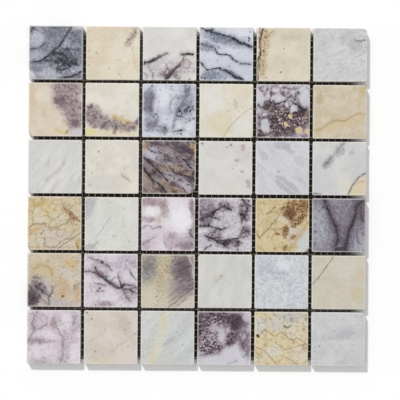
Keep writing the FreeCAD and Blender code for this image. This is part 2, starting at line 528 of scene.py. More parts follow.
# Far row of marble tiles: slate grey under dark veins, cream, white crossed by plum veins, ink-blue bands,
# cream with a rust-freckled edge, and plain grey
# Sizes and places are mm from the middle of a tile's face, to the right and away from the viewer
stone = lay_tile(1, 1, (156, 158, 170), (129, 131, 143), 8)
stone.cloud((86, 87, 98), 2.4, 0.5, 0.64, 0.75)
stone.cloud((176, 178, 190), 3, 0.52, 0.66, 0.65)
for tint, oval, most in (
        ((190, 191, 201), (-17, 13, 7, 9), 0.85), ((181, 184, 197), (-18, -2, 6, 6), 0.75),
        ((212, 211, 216), (-23, -20, 5, 6), 0.9), ((185, 187, 196), (-6, -18, 12, 6), 0.8),
        ((185, 188, 203), (17, -15, 7, 4), 0.8), ((201, 203, 211), (18, 22, 8, 2), 0.7),
        ((181, 183, 197), (8, 7, 4, 3), 0.6), ((109, 111, 122), (-3, 18, 8, 7), 0.5),
        ((107, 108, 120), (17, 14, 6, 7), 0.55), ((84, 85, 97), (6, -7, 12, 8), 0.5),
        ((105, 105, 117), (-17, -15, 7, 3), 0.6), ((82, 83, 93), (2, 23, 12, 1.5), 0.7)):
    stone.stain(tint, oval, most)
stone.cloud((69, 69, 80), 1.5, 0.56, 0.66, 0.6)
stone.web((62, 62, 73), 6, 0.9, 0.7, [(12, 6, 15, 18)], (0.42, 0.55))
stone.web((38, 37, 48), 4.6, 1.1, 0.95, [(6, -7, 15, 11, -30)], (0.38, 0.5))
stone.vein((36, 35, 46), [(-6, -1), (8, -1), (11, -8), (17, -10)], 1.4, inner=0.4)
stone.vein((36, 35, 46), [(2, -5), (13, -12), (6, -16), (1, -14)], 1.3, inner=0.4)
stone.vein((44, 43, 55), [(9, 5), (14, -2), (17, -9)], 1.2, 0.8)
stone.vein((21, 20, 27), [(13, 23), (8, 14), (3, 7), (-6, -1), (-13, -8), (-24, -9)], 1.25, inner=0.45)
stone.vein((29, 28, 36), [(-24, 2), (-17, 4), (-10, 8)], 1.2)
stone.vein((39, 38, 48), [(-13, -8), (-7, -7), (-2, -6)], 1.3, 0.9)
stone.vein((46, 47, 57), [(13, 3), (24, 2)], 0.9, 0.9)
stone.vein((32, 31, 40), [(24, -17), (15, -21), (5, -24)], 1.6, inner=0.4)
stone.vein((65, 64, 73), [(-24, 18), (-21, 22), (-15, 19)], 1.2, 0.8)
stone.vein((55, 54, 65), [(-24, 24), (-20, 23), (-22, 19)], 1.4, 0.7)
stone.finish(1.8)

stone = lay_tile(1, 2, (224, 215, 195), (216, 204, 181))
stone.cloud((214, 194, 158), 6, 0.42, 0.7, 0.6, within=[(-17, 12, 14, 20, 20), (-8, 24, 20, 5)])
stone.stain((228, 222, 206), (6, -2, 13, 9), 0.5)
stone.stain((233, 225, 210), (21, 9, 3, 3), 0.8)
stone.stain((162, 142, 129), (16, 14, 10, 3.4, 62), 0.55, 1.8, 0.7)
stone.cloud((86, 66, 62), 1.8, 0.48, 0.64, 0.65, within=[(16, 14, 11, 3.6, 62)])
stone.vein((104, 83, 75), [(20, 22), (16, 14), (11, 8)], 1.2, 0.4)
stone.specks(
    (141, 131, 107), [(6, -19, 1.4), (-4, -14, 1), (-15, 0, 1.1), (-20, -4, 0.9), (-22, -12, 1),
     (-21, 2, 0.9)], 0.5)
stone.vein((196, 179, 151), [(16, 7), (19, -2), (20, -13)], 0.7, 0.6)
stone.vein((204, 190, 166), [(2, -6), (16, -11)], 0.6, 0.6)
stone.finish()

stone = lay_tile(1, 3, (224, 222, 217), (214, 212, 209))
stone.stain((198, 195, 198), (0, -14, 26, 10), 0.8)
stone.stain((221, 219, 217), (-4, -13, 5, 5), 0.7)
stone.stain((178, 157, 162), (15, -9, 5, 6), 0.3)
stone.vein((140, 112, 121), [(12, -8), (15, -5), (19, -8), (18, -13), (13, -13), (12, -8)], 0.9, 0.65)
stone.vein((110, 82, 91), [(-8, -17), (-3, -22), (2, -14), (8, -20), (10, -24)], 1.3, 0.8)
lower = stone.mask([(1, -15, 23, 9)])
stone.cloud((178, 167, 176), 3.4, 0.5, 0.66, 0.6, within=lower)
stone.web((125, 100, 110), 4.6, 0.8, 0.6, lower, (0.42, 0.58))
stone.stain((84, 70, 78), (-16, -7, 9, 1.8, 24), 0.75, 1.8, 0.7)
stone.stain((78, 70, 76), (16, 0, 6, 1.8), 0.75, 1.8, 0.7)
stone.vein((61, 47, 54), [(-24, -10), (-16, -7), (-8, -3), (-2, 0)], 1.2, 0.9)
stone.vein((44, 38, 43), [(-22, -9), (-13, -6), (-9, -4)], 1.5, 0.9)
stone.vein((46, 41, 45), [(11, 0), (16, 0.5), (21, -0.5)], 1.6)
stone.vein((90, 66, 77), [(14, -2), (11, -7), (7, -12), (2, -18), (-3, -24)], 1.1)
stone.stain((82, 62, 72), (1, -18, 8, 2, 52), 0.4, 1.8, 0.7)
stone.vein((48, 33, 42), [(8, -11), (1, -19), (-3, -24)], 1.3, inner=0.45)
stone.vein((78, 57, 67), [(-4, -15), (-2, -13), (0, -17), (-3, -21), (-5, -18), (-4, -15)], 1.2, 0.9)
stone.vein((113, 94, 103), [(-19, -10), (-15, -18), (-14, -24)], 0.9, 0.8)
stone.vein((94, 74, 85), [(4, -17), (8, -24)], 1, 0.8)
stone.vein((110, 90, 99), [(-23, -17), (-20, -20), (-21, -24)], 1, 0.6)
stone.specks((95, 85, 91), [(18, -23, 1.4)], 0.7)
stone.finish()

stone = lay_tile(1, 4, (212, 214, 223), (197, 200, 211))
shade = stone.fill((156, 161, 178), [(-4, 13, 21, 5, -18), (-9, -20, 13, 5), (-17, 6, 9, 5)], 0.75)
stone.stain((132, 137, 155), (-8, 13, 11, 3, -10), 0.6)
stone.stain((107, 112, 129), (-2, 15, 19, 3.4, -20), 0.6)
stone.stain((115, 120, 136), (-15, -19, 10, 4), 0.6)
stone.cloud((75, 79, 97), 1.5, 0.5, 0.62, 0.8, within=shade)
stone.cloud((117, 122, 140), 2.2, 0.6, 0.7, 0.5)
stone.stain((222, 223, 229), (13, 20, 12, 4, -10), 0.8)
stone.vein(
    (31, 33, 47), [(-24, 24), (-18, 21), (-8, 18), (2, 16), (9, 13), (15, 10), (24, 5)], 1.3, inner=0.5)
stone.vein((10, 11, 20), [(6, 14), (15, 10), (24, 5)], 1.7, inner=0.6)
stone.vein((36, 38, 53), [(-10, 4), (-8, 0), (0, -1), (6, -4), (10, -7)], 1.2, inner=0.45)
stone.vein((48, 50, 66), [(13, -9), (22, -9)], 1.8, 0.9)
stone.vein(
    (29, 31, 45), [(-24, -6), (-20, -11), (-17, -14), (-6, -13), (0, -16), (7, -20), (16, -24)], 1.2,
    inner=0.5)
stone.vein((12, 13, 22), [(-1, -15), (7, -20), (14, -23)], 1.7, inner=0.6)
stone.vein((52, 54, 72), [(1, -14), (10, -20)], 0.9, 0.8)
stone.vein((63, 67, 85), [(-24, 8), (-12, 6)], 1.6, 0.8)
stone.vein((46, 49, 64), [(-12, 23), (-14, 19)], 1.6, 0.9)
stone.specks((48, 50, 66), [(21, 20, 0.9), (20, 14, 1.2), (20, 12, 1), (-22, -21, 1.1), (-19, -22, 1)], 0.85)
stone.specks((88, 91, 108), [(-8, -6, 1.1), (3, -11, 1.2), (-7, 6, 1.4)], 0.6)
stone.finish(1.1)

stone = lay_tile(1, 5, (221, 212, 193), (211, 202, 181))
stone.fill((198, 175, 135), [(-17, 12, 5, 13), (-19, -8, 4, 14)], 0.7, ((112, 82, 48), 1.3, 0.49, 0.6, 0.8))
stone.stain((196, 179, 147), (-11, 18, 6, 4, 30), 0.5)
stone.stain((192, 184, 165), (6, 15, 11, 3), 0.5)
stone.vein((131, 106, 71), [(-15, 16), (-9, 21)], 0.6, 0.7)
stone.vein((58, 36, 20), [(-19, 24), (-21, 16), (-21, 0), (-23, -8), (-23, -24)], 1, inner=0.5, halo=0.15)
stone.vein((85, 56, 32), [(-22, 24), (-20, 10), (-22, -4), (-21, -14)], 0.7, 0.8)
stone.specks((92, 57, 26), [(-18, 3, 1.4), (-17, 16, 0.9), (-18, -10, 0.9)], 0.9)
stone.specks((127, 120, 108), [(-2, -16, 1.3), (0, 5, 0.8), (-15, -21, 0.9), (0, -7, 0.6)], 0.8)
stone.finish()

stone = lay_tile(1, 6, (213, 212, 211), (203, 202, 202), 10, chips=[(24, 24, 3.6)])
stone.cloud((180, 180, 183), 4, 0.46, 0.7, 0.7, 2.2, 20)
stone.stain((182, 183, 186), (6, 16, 10, 6, 20), 0.5)
stone.stain((174, 175, 178), (14, 9, 8, 7), 0.6)
stone.vein((96, 97, 101), [(13, 13), (23, 13)], 0.9, 0.8)
stone.specks((98, 99, 104), [(23, 7, 0.9)], 0.8)
stone.finish(1.6)

# Second row of marble tiles: cream with a plum mottle, the same with a gold edge, smoky grey, ivory with a
# hair crack, breccia of pale stones in plum, and beige with an ochre crack
stone = lay_tile(2, 1, (222, 211, 193), (212, 198, 176), chips=[(-24, -24, 3.2)])
stone.stain((207, 186, 158), (-22, 14, 5, 11, 20), 0.5)
stone.stain((207, 191, 166), (-21, -9, 5, 9), 0.4)
stone.stain((211, 198, 174), (-4, -9, 8, 6), 0.5)
stone.fill((190, 177, 182), [(12, 10, 19, 17, -40), (19, -17, 8, 8)], 0.6)
stone.fill(
    (154, 137, 141), [(10, 19, 15, 8), (3, 9, 9, 5, -35), (12, 5, 14, 10, -40), (17, -8, 9, 10)], 0.85,
    ((100, 82, 89), 3.2, 0.44, 0.62, 0.85), ((188, 175, 181), 2.4, 0.52, 0.66, 0.7),
    ((119, 100, 106), 1.5, 0.52, 0.62, 0.6))
stone.stain((90, 72, 79), (5, 7, 6, 5), 0.6)
stone.stain((96, 78, 85), (17, -12, 4, 4, 20), 0.7)
stone.stain((207, 200, 206), (20, -20, 7, 4), 0.7)
stone.stain((209, 188, 131), (4, -19, 6, 2.4, -25), 0.65, 1.8)
stone.stain((155, 131, 68), (10, -20, 1.6, 2), 0.8)
stone.stain((225, 217, 204), (-10, 13, 9, 7, 20), 0.6)
stone.specks((176, 174, 178), [(-10, -4, 2.4), (-9, -7, 1.3)], 0.4)
stone.finish()

stone = lay_tile(2, 2, (227, 222, 211), (217, 211, 199))
stone.cloud((216, 204, 179), 7, 0.5, 0.75, 0.4)
stone.stain((220, 205, 144), (-20, -20, 8, 5), 0.75)
stone.stain((218, 204, 170), (5, -20, 19, 4), 0.6)
stone.fill(
    (149, 132, 136), [(-18, -5, 9, 9, -40), (-8, -11, 11, 7, -20), (4, -13, 12, 6, -10), (14, -15, 10, 5, 10),
     (22, -11, 5, 3, 35)], 0.9, ((94, 77, 83), 3, 0.44, 0.62, 0.9), ((200, 187, 189), 2.6, 0.52, 0.66, 0.8),
    ((115, 96, 102), 1.4, 0.52, 0.62, 0.6))
stone.cloud((209, 186, 123), 2.6, 0.4, 0.54, 0.85, 2, -15, [(5, -8, 8, 3.4, -15), (13, -11, 8, 3, -15)])
stone.specks((94, 76, 82), [(-18, 3, 2), (-15, -15, 2), (19, -15, 2.2), (2, -20, 2.2)], 0.6)
stone.finish()

stone = lay_tile(2, 3, (214, 215, 223), (195, 197, 209), 9)
stone.fill(
    (156, 156, 168), [(-18, 9, 6, 13, -8), (-16, -11, 8, 8, 30), (15, 6, 9, 17, -12), (-6, -16, 8, 4)], 0.7,
    ((100, 100, 115), 3.4, 0.45, 0.64, 0.85))
stone.cloud((130, 132, 147), 2.6, 0.54, 0.7, 0.6)
stone.stain((112, 110, 122), (-18, 8, 5, 11, -8), 0.85)
stone.stain((108, 107, 121), (-15, -13, 7, 4, 30), 0.6)
stone.stain((88, 89, 102), (-4, -19, 4, 3), 0.7)
stone.stain((224, 225, 232), (-5, 13, 5, 12, 10), 0.8)
stone.stain((220, 221, 229), (6, -14, 7, 6), 0.6)
stone.vein((96, 95, 109), [(-17, 3), (-16, -4), (-11, -2), (-10, -6)], 2, 0.9)
stone.vein((113, 115, 130), [(14, 23), (14, 15), (12, 6), (7, -2), (3, -15)], 2.4, 0.85)
stone.vein((126, 128, 143), [(6, 13), (2, 7), (1, -1)], 2, 0.6)
stone.vein((76, 78, 92), [(18, 21), (15, 12)], 1.2, 0.8)
stone.cloud((21, 22, 30), 1.3, 0.52, 0.6, within=[(17, 0, 6, 5, 20), (9, -3, 3, 7, 15)])
stone.vein((24, 25, 34), [(13, 0), (18, 4)], 1.6)
stone.vein((46, 48, 61), [(4, -19), (8, -18), (12, -17)], 1.5)
stone.specks((24, 25, 34), [(9, -1, 1.3), (8, -5, 1), (20, 8, 0.7), (21, 4, 0.7)])
stone.specks(
    (80, 82, 96), [(22, -7, 2), (18, -9, 1.6), (-8, 19, 0.9), (-16, 22, 1.2), (10, -21, 1.6), (2, 22, 1),
     (-4, -16, 2.2)], 0.7)
stone.finish(1.3)

stone = lay_tile(2, 4, (226, 221, 208), (219, 212, 197))
stone.cloud((215, 203, 171), 8, 0.5, 0.8, 0.5)
stone.stain((217, 204, 171), (-4, -12, 12, 12, 40), 0.6)
stone.stain((219, 208, 180), (14, 16, 12, 8), 0.5)
stone.stain((219, 218, 215), (14, -15, 9, 8), 0.7)
stone.stain((223, 222, 217), (-13, 10, 10, 13), 0.7)
stone.stain((181, 172, 152), (8, 7, 2, 4, -10), 0.5)
stone.crack((158, 150, 132), [(25, 4), (18, 0), (12, -5), (5, -12), (-3, -24)], 0.55, 0.75)
stone.vein((186, 178, 160), [(9, 5), (12, -2)], 0.7, 0.7)
stone.specks((176, 170, 156), [(2, 0, 1.1), (15, 2, 0.9), (3, -6, 1)], 0.45)
stone.finish()

stone = lay_tile(2, 5, (206, 200, 208), (175, 164, 175), 6)
stone.cloud((134, 116, 128), 3, 0.46, 0.66, 0.7)
stone.web((74, 55, 64), 6, 1.4, 0.85)
broken = stone.fill(
    (46, 30, 34), [(-11, 3, 11, 5, -20), (2, -9, 26, 13, 8), (17, -4, 9, 14), (-20, -19, 9, 6)], 0.97)
stone.clasts(
    [(190, 175, 180), (116, 96, 100), (172, 155, 146), (146, 126, 132), (92, 72, 77)], 2.6, broken, 0.95,
    0.17, 0.08)
stone.cloud((40, 26, 30), 3.4, 0.52, 0.64, 0.75, within=broken)
for oval in (
        (-21, 12, 4, 8, 20), (-3, 11, 5, 4, -10), (19, 13, 5, 10, 10), (9, 2, 3, 5, -40),
        (-16, -13, 4, 7, 10), (-16, -3, 1.6, 1.4), (3, 6, 2, 3), (-6, 19, 4, 2.4)):
    stone.stain((207, 204, 213), oval, 0.85, soft=0.3)
for oval in ((14.5, -17, 3, 3.6), (22, -18, 2.6, 3), (7, -5, 2.4, 1.8), (3, -12, 1.8, 2)):
    stone.stain((210, 188, 150), oval, 0.95, 0.7, 0.15)
stone.vein((41, 26, 31), [(-13, 9), (-6, 6), (3, 10), (7, 14)], 1.3)
stone.vein((36, 28, 34), [(8, 9), (14, 5), (20, 1)], 1.3)
stone.vein((68, 62, 73), [(11, 16), (11, 10)], 1.2, 0.9)
stone.vein((183, 151, 121), [(23, 4), (19, -8)], 0.8, 0.7)
stone.finish(0.9)

stone = lay_tile(2, 6, (212, 200, 179), (201, 187, 161), 9, chips=[(24, 24, 2.4)])
stone.cloud((187, 170, 138), 6, 0.48, 0.72, 0.5, 1.8, 30)
stone.cloud((206, 199, 189), 7, 0.5, 0.75, 0.5)
stone.stain((196, 173, 127), (20, 20, 4, 5), 0.6)
stone.stain((185, 166, 128), (-18, 12, 5, 6), 0.5)
stone.stain((205, 186, 144), (3, -11, 24, 5, 15), 0.5)
stone.vein(
    (188, 161, 105), [(-24, -17), (-15, -15), (-6, -8), (3, -8), (10, -5), (17, -2), (25, -2)], 1.6, 0.4)
stone.vein(
    (148, 118, 67), [(-24, -17), (-15, -15), (-10, -11), (-6, -8), (3, -8), (10, -5), (17, -2), (25, -2)],
    0.6, 0.6)
stone.finish(1.2)

# Third row of marble tiles: streaked white, ivory, a folded plum and gold one, white with plum specks, grey
# with darker lenses, and white with a smoky cloud and a rusty corner
stone = lay_tile(3, 1, (220, 219, 215), (208, 207, 205), 12, 3, 60, chips=[(-24, -24, 2.2)])
stone.cloud((189, 188, 185), 4, 0.48, 0.74, 0.6, 4, 60)
stone.vein((175, 170, 159), [(8, 6), (6, -1), (-3, -8), (-8, -13)], 1.8, 0.5)
stone.vein((187, 183, 175), [(-5, 5), (-6, 0)], 1.2, 0.6)
stone.vein((177, 174, 166), [(4, -13), (-1, -20), (-3, -24)], 1.8, 0.5)
stone.finish()

stone = lay_tile(3, 2, (225, 219, 208), (215, 210, 200))
stone.stain((206, 204, 199), (-8, -15, 18, 8), 0.6)
stone.cloud((200, 196, 189), 4, 0.5, 0.74, 0.4)
stone.specks((125, 121, 117), [(-12, 13, 1.3), (-18, -6, 0.9)], 0.65)
stone.vein((151, 135, 110), [(8, -7), (12, -9), (16, -13)], 1.2, 0.8)
stone.specks(
    (182, 176, 166), [(-19, -16, 1.6), (11, -1, 1.3), (14, 0, 1.1), (-14, 8, 1.1), (-18, 5, 1.2)], 0.5)
stone.finish()

stone = lay_tile(3, 3, (156, 144, 147), (128, 117, 121), 7, 3, -38, chips=[(24, -24, 5.5)])
stone.cloud((191, 182, 193), 4, 0.5, 0.7, 0.7, 3, -38)
stone.cloud((84, 70, 80), 3, 0.5, 0.66, 0.75, 3.5, -38)
for tint, oval, most in (
        ((194, 189, 202), (-15, 12, 9, 6, -20), 0.75), ((176, 168, 180), (-4, 5, 12, 5, -28), 0.4),
        ((179, 170, 183), (3, -10, 12, 4, -28), 0.6), ((202, 191, 200), (18, -18, 8, 5, -35), 0.7),
        ((190, 159, 118), (-23, 19, 3, 6), 0.85), ((192, 162, 120), (22, 17, 4, 9), 0.85),
        ((183, 153, 118), (-22, -9, 3, 5), 0.6)):
    stone.stain(tint, oval, most)
stone.stain((152, 132, 118), (-14, -18, 13, 8, -40), 0.6)
stone.fill(
    (150, 132, 122), [(-3, -1, 12, 4, 5), (13, -3, 12, 5, -22), (3, -19, 13, 6, -30)], 0.55,
    ((180, 150, 112), 1.6, 0.5, 0.64, 0.8, 5, -24), ((96, 74, 66), 1.2, 0.52, 0.62, 0.75, 4, -24))
for oval in (
        (-10, 21, 7, 2.5, -12), (9, 18, 12, 5, -25), (18, 15, 4, 3), (20, -11, 5, 3, -30),
        (4, -15, 4, 2.4, -10), (13, 17, 4, 4)):
    stone.stain((60, 47, 57), oval, 0.8)
stone.stain((112, 97, 101), (-17, 1, 5, 9, 40), 0.6)
stone.web((58, 42, 51), 7, 0.9, 0.85, keep=(0.42, 0.57), stretch=3.5, turn=-42)
stone.cloud((61, 49, 58), 1.4, 0.54, 0.64, 0.65, 5, -40)
stone.cloud((142, 128, 136), 1.3, 0.52, 0.64, 0.6, 4, -35, [(8, 17, 15, 7, -25)])
stone.vein((33, 24, 29), [(-24, 10), (-19, 6), (-14, 1), (-8, -4), (-1, -12)], 1, inner=0.5)
stone.vein((24, 15, 18), [(-24, 1), (-21, -4), (-14, -12)], 1.4, inner=0.5)
stone.vein((26, 17, 20), [(-13, -12), (-7, -18), (-2, -24)], 1.2, inner=0.5)
stone.vein((36, 26, 31), [(13, 7), (20, 0)], 1.1, inner=0.5)
stone.vein((33, 24, 29), [(5, -5), (15, -8), (23, -11)], 1.2, inner=0.5)
stone.vein((38, 26, 30), [(22, -4), (21, -8), (23, -11)], 1)
stone.finish(1.3)

stone = lay_tile(3, 4, (218, 216, 211), (211, 208, 204))
stone.stain((200, 190, 189), (15, 15, 8, 9), 0.4)
stone.cloud((174, 159, 160), 2.6, 0.56, 0.7, 0.6, within=[(15, 8, 9, 16)])
stone.specks((94, 70, 74), [(5, 20, 1.6), (2, 18, 1.2), (-21, 21, 1.3)], 0.65)
stone.specks((150, 118, 118), [(15, 19, 2.2), (15, 16, 1.8), (6, -1, 0.9)], 0.5)
stone.specks((128, 114, 119), [(20, -12, 2.4), (20, -16, 2.2), (15, -3, 1.5), (10, 7, 1.8)], 0.5)
stone.finish()

stone = lay_tile(3, 5, (211, 211, 215), (201, 201, 206), 9, 3, -48)
stone.cloud((183, 184, 190), 3, 0.5, 0.7, 0.5, 5, -48)
for oval, most in (
        ((0, 20, 8, 4, -5), 0.75), ((6, 16, 6, 2.4, -30), 0.6), ((-17, 11, 5, 3.4, -50), 0.55),
        ((-3, -3, 2, 1.6, -30), 0.7), ((0, -13, 8, 5, -50), 0.85), ((8, -19, 9, 5, -42), 0.85),
        ((14, -10, 6, 2, -20), 0.4), ((15, 6, 6, 4, -50), 0.35)):
    stone.stain((178, 180, 186), oval, most, 0.7, 0.15)
stone.vein((210, 210, 216), [(-5, -9), (5, -17), (14, -23)], 1, 0.7, halo=0)
stone.finish(1.6)

stone = lay_tile(3, 6, (213, 212, 209), (202, 202, 202))
stone.cloud((189, 189, 192), 5, 0.5, 0.74, 0.5, 2.5, 45)
stone.fill(
    (165, 165, 170), [(0, 15, 7, 4, 35), (-10, 6, 4, 8, -30), (2, 21, 2, 5, -25)], 0.5,
    ((98, 98, 105), 1.8, 0.5, 0.64, 0.65))
stone.vein((96, 95, 101), [(-8, 9), (-12, 3)], 1.8, 0.8)
stone.vein((115, 114, 120), [(5, 24), (-2, 17)], 1.6, 0.7)
stone.vein((151, 150, 156), [(-2, 16), (-9, 9)], 2.4, 0.6)
stone.stain((167, 167, 173), (11, 14, 3, 2.4), 0.6)
stone.stain((197, 197, 205), (-17, -17, 7, 7), 0.5)
stone.stain((217, 200, 167), (22, -19, 16, 10, 51), 0.85, 0.5, 0.2)
stone.stain((221, 214, 196), (5, -15, 7, 6), 0.5)
stone.crack((85, 60, 37), [(25, -3), (17, -8), (14, -12), (11, -16), (8, -24)], 0.8, halo=0.3)
stone.vein((176, 144, 96), [(17, -12), (24, -12)], 0.9, 0.6)
stone.stain((94, 89, 93), (-20, -23, 5, 1.6), 0.7)
stone.finish()

# Fourth row of marble tiles: cracked gold, white with one crack, white with rose clouds, plum veins round
# white, gold with rust, and slate grey with two dark veins that meet
stone = lay_tile(4, 1, (213, 199, 169), (204, 191, 164), 9, chips=[(-24, -24, 2.6)])
stone.stain((214, 195, 149), (-9, 12, 16, 11), 0.6)
stone.stain((205, 196, 183), (0, -13, 20, 10), 0.85)
stone.cloud((184, 157, 107), 3.2, 0.5, 0.68, 0.6)
for oval in ((-14, 4, 6, 4), (-16, 12, 4, 3), (3, 5, 8, 4, 20)):
    stone.stain((211, 204, 187), oval, 0.7)
for oval in ((-15, 17, 10, 3, 15), (-18, -6, 9, 2.4, 18), (22, -20, 3, 8)):
    stone.stain((195, 164, 106), oval, 0.65)
stone.web((148, 120, 76), 7, 0.6, 0.6, keep=(0.4, 0.54), stretch=1.6, turn=15)
stone.cloud((134, 116, 93), 1.4, 0.58, 0.68, 0.5)
stone.stain((175, 133, 85), (14, 8, 10, 3, -42), 0.6, 1.8)
stone.cloud((115, 68, 33), 1.8, 0.46, 0.6, 0.9, within=[(15, 7, 8, 2.4, -42)])
stone.vein((99, 72, 44), [(7, 15), (14, 9), (23, 2)], 0.7, 0.8)
stone.vein((122, 98, 66), [(-24, -4), (-19, -1), (-9, -1), (-7, -4), (1, -3), (11, 1), (16, 4)], 0.8, 0.7)
stone.crack((82, 64, 43), [(24, -8), (16, -14), (9, -18), (4, -22)], 0.55, 0.9, 0.1)
stone.vein((102, 79, 48), [(20, -17), (21, -23)], 0.8, 0.8)
stone.vein((112, 89, 62), [(-9, -21), (3, -21)], 0.6, 0.7)
stone.specks((80, 81, 53), [(-9, -14, 1.1), (-12, -9, 0.8), (-10, -19, 0.8), (3, -11, 0.7)], 0.85)
stone.finish(1.5)

stone = lay_tile(4, 2, (218, 217, 212), (210, 209, 204))
stone.stain((184, 183, 185), (-22, 15, 7, 15, -22), 0.85, 0.9, 0.3)
stone.stain((182, 181, 182), (-20, -22, 7, 4), 0.7)
stone.cloud((127, 126, 129), 2.6, 0.5, 0.64, 0.8, within=[(-20, 18, 3, 5), (-20, -22, 5, 2.4)])
stone.cloud((194, 191, 183), 3.4, 0.54, 0.72, 0.5)
stone.vein((236, 236, 236), [(-2, 4), (-9, -5), (-14, -12)], 1.2, 0.7, halo=0.1)
stone.crack((132, 131, 131), [(-1, 6), (-8, -4), (-14, -12)], 0.6, 0.75, 0.1)
stone.vein((158, 157, 158), [(-13, -16), (-18, -21)], 0.8, 0.8)
stone.specks((180, 177, 168), [(9, 1, 1.4), (9, -3, 1), (2, -11, 1.6), (-2, 19, 1.4), (16, -16, 1.3)], 0.5)
stone.finish()

stone = lay_tile(4, 3, (221, 215, 220), (209, 200, 206), 9)
rose = stone.fill(
    (181, 165, 173), [(-16, 20, 10, 5), (-3, 15, 4, 10, 8), (-20, -19, 5, 5), (4, -16, 8, 9), (16, -17, 9, 8),
     (22, 6, 3, 19, 4), (-16, 4, 6, 3)], 0.8)
stone.stain((201, 188, 196), (-16, -13, 8, 9), 0.6)
stone.cloud((142, 122, 134), 4, 0.46, 0.66, 0.75, 2.4, 80, rose)
stone.cloud((110, 90, 101), 1.8, 0.52, 0.64, 0.65, 1.6, 80, rose)
stone.stain((117, 96, 107), (17, -19, 9, 4), 0.6)
stone.stain((162, 136, 142), (-17, 20, 8, 4), 0.6)
stone.stain((228, 223, 229), (9, 17, 9, 6), 0.7)
stone.stain((234, 232, 237), (11, 4, 11, 11, 30), 0.95)
stone.stain((233, 231, 234), (-14, 11, 7, 5), 0.85)
stone.stain((134, 118, 132), (22, 14, 2.6, 8, 10), 0.7)
stone.stain((150, 123, 94), (-24, 5, 2, 5), 0.7)
stone.vein((174, 144, 124), [(-7, 20), (-6, 12), (-8, 2)], 2.6, 0.6)
stone.vein((118, 98, 110), [(-24, -5), (-19, -1), (-13, -4), (-7, -3)], 0.9, 0.8)
stone.vein((78, 62, 76), [(20, -5), (20, -9), (24, -14)], 1.8, 0.9)
stone.vein((130, 108, 124), [(-21, -17), (-12, -12)], 1.1, 0.7)
stone.finish(1.3)

stone = lay_tile(4, 4, (211, 208, 214), (195, 190, 198), 8)
mauve = stone.fill(
    (163, 150, 161), [(-17, 14, 10, 10), (-9, -9, 9, 6, 20), (0, 17, 7, 5), (17, 12, 5, 10), (4, -17, 12, 4),
     (18, -7, 6, 7), (-18, 2, 7, 4)], 0.8, ((107, 88, 101), 2.8, 0.46, 0.64, 0.9, 2, -40))
stone.stain((94, 76, 89), (-17, 6, 6, 7), 0.6)
stone.stain((198, 195, 201), (4, 5, 9, 6, 10), 0.9)
stone.stain((207, 203, 210), (6, -8, 8, 4), 0.8)
stone.stain((214, 211, 218), (-19, -9, 6, 5), 0.9)
stone.stain((207, 204, 211), (21, -18, 6, 6), 0.8)
stone.web((150, 136, 148), 4.2, 0.8, 0.5, keep=(0.4, 0.52))
stone.web((70, 52, 66), 4.4, 0.9, 0.85, mauve, (0.42, 0.56))
for path, width in (
        ([(-24, -1), (-15, -1), (-5, -4), (2, -3)], 1.3),
        ([(-24, 4), (-13, 8), (-8, 13), (-1, 16), (5, 13)], 1.5), ([(-11, 12), (-12, 6), (-6, 5)], 1.4),
        ([(15, 23), (18, 19), (24, 16)], 1.4), ([(14, 10), (19, 4)], 1.2), ([(20, 15), (16, 6), (15, 2)], 1),
        ([(-18, -10), (-8, -14), (3, -14), (13, -11)], 1.5), ([(-7, -15), (1, -18), (4, -15)], 1.8),
        ([(10, -14), (12, -18), (11, -24)], 1), ([(-13, -18), (-18, -23)], 0.9), ([(14, -8), (21, -6)], 1)):
    stone.vein((48, 35, 45), path, width * 1.1)
stone.specks((38, 28, 37), [(-11, 10, 1.8), (15, 9, 1.8), (-15, 0, 1.4), (0, -16, 1.6), (20, 21, 1.2)], 0.9)
stone.finish(1.1)

stone = lay_tile(4, 5, (211, 195, 156), (201, 182, 139), 10, chips=[(24, -24, 3)])
stone.stain((204, 196, 186), (12, -8, 9, 11, 30), 0.8)
stone.cloud((172, 146, 100), 2.4, 0.52, 0.68, 0.5)
stone.web((143, 110, 65), 9, 0.8, 0.7)
stone.fill(
    (150, 109, 60), [(9, 15, 10, 8, 25), (8, 8, 3, 6), (19, 18, 5, 8), (15, 5, 10, 3.6, 40),
     (3, -6, 3.4, 6, -15), (-4, -8, 2, 1.6), (10, -11, 2.4, 2.4), (3, -20, 2.4, 3)], 0.9,
    ((82, 50, 20), 2.2, 0.44, 0.56, 0.95), ((205, 182, 138), 1.6, 0.54, 0.62, 0.85))
stone.stain((86, 50, 18), (6, 10, 5, 6, -20), 0.7)
stone.stain((209, 197, 174), (0, 5, 7, 3, -15), 0.85)
stone.stain((201, 203, 200), (24, -16, 16, 9, 58), ragged=0.6, soft=0.2)
stone.vein((177, 150, 101), [(24, 4), (17, -7), (10, -18), (6, -24)], 1.6, 0.7)
stone.vein((93, 68, 36), [(-24, -5), (-20, -12)], 0.7, 0.8)
stone.crack((101, 75, 43), [(-20, -11), (-11, -2), (-4, 7), (1, 16)], 0.55, 0.8)
stone.vein((109, 81, 47), [(-14, 11), (-7, 16)], 0.7, 0.8)
stone.vein((126, 97, 60), [(-11, -4), (-1, -3)], 0.7, 0.7)
stone.finish(1.4)

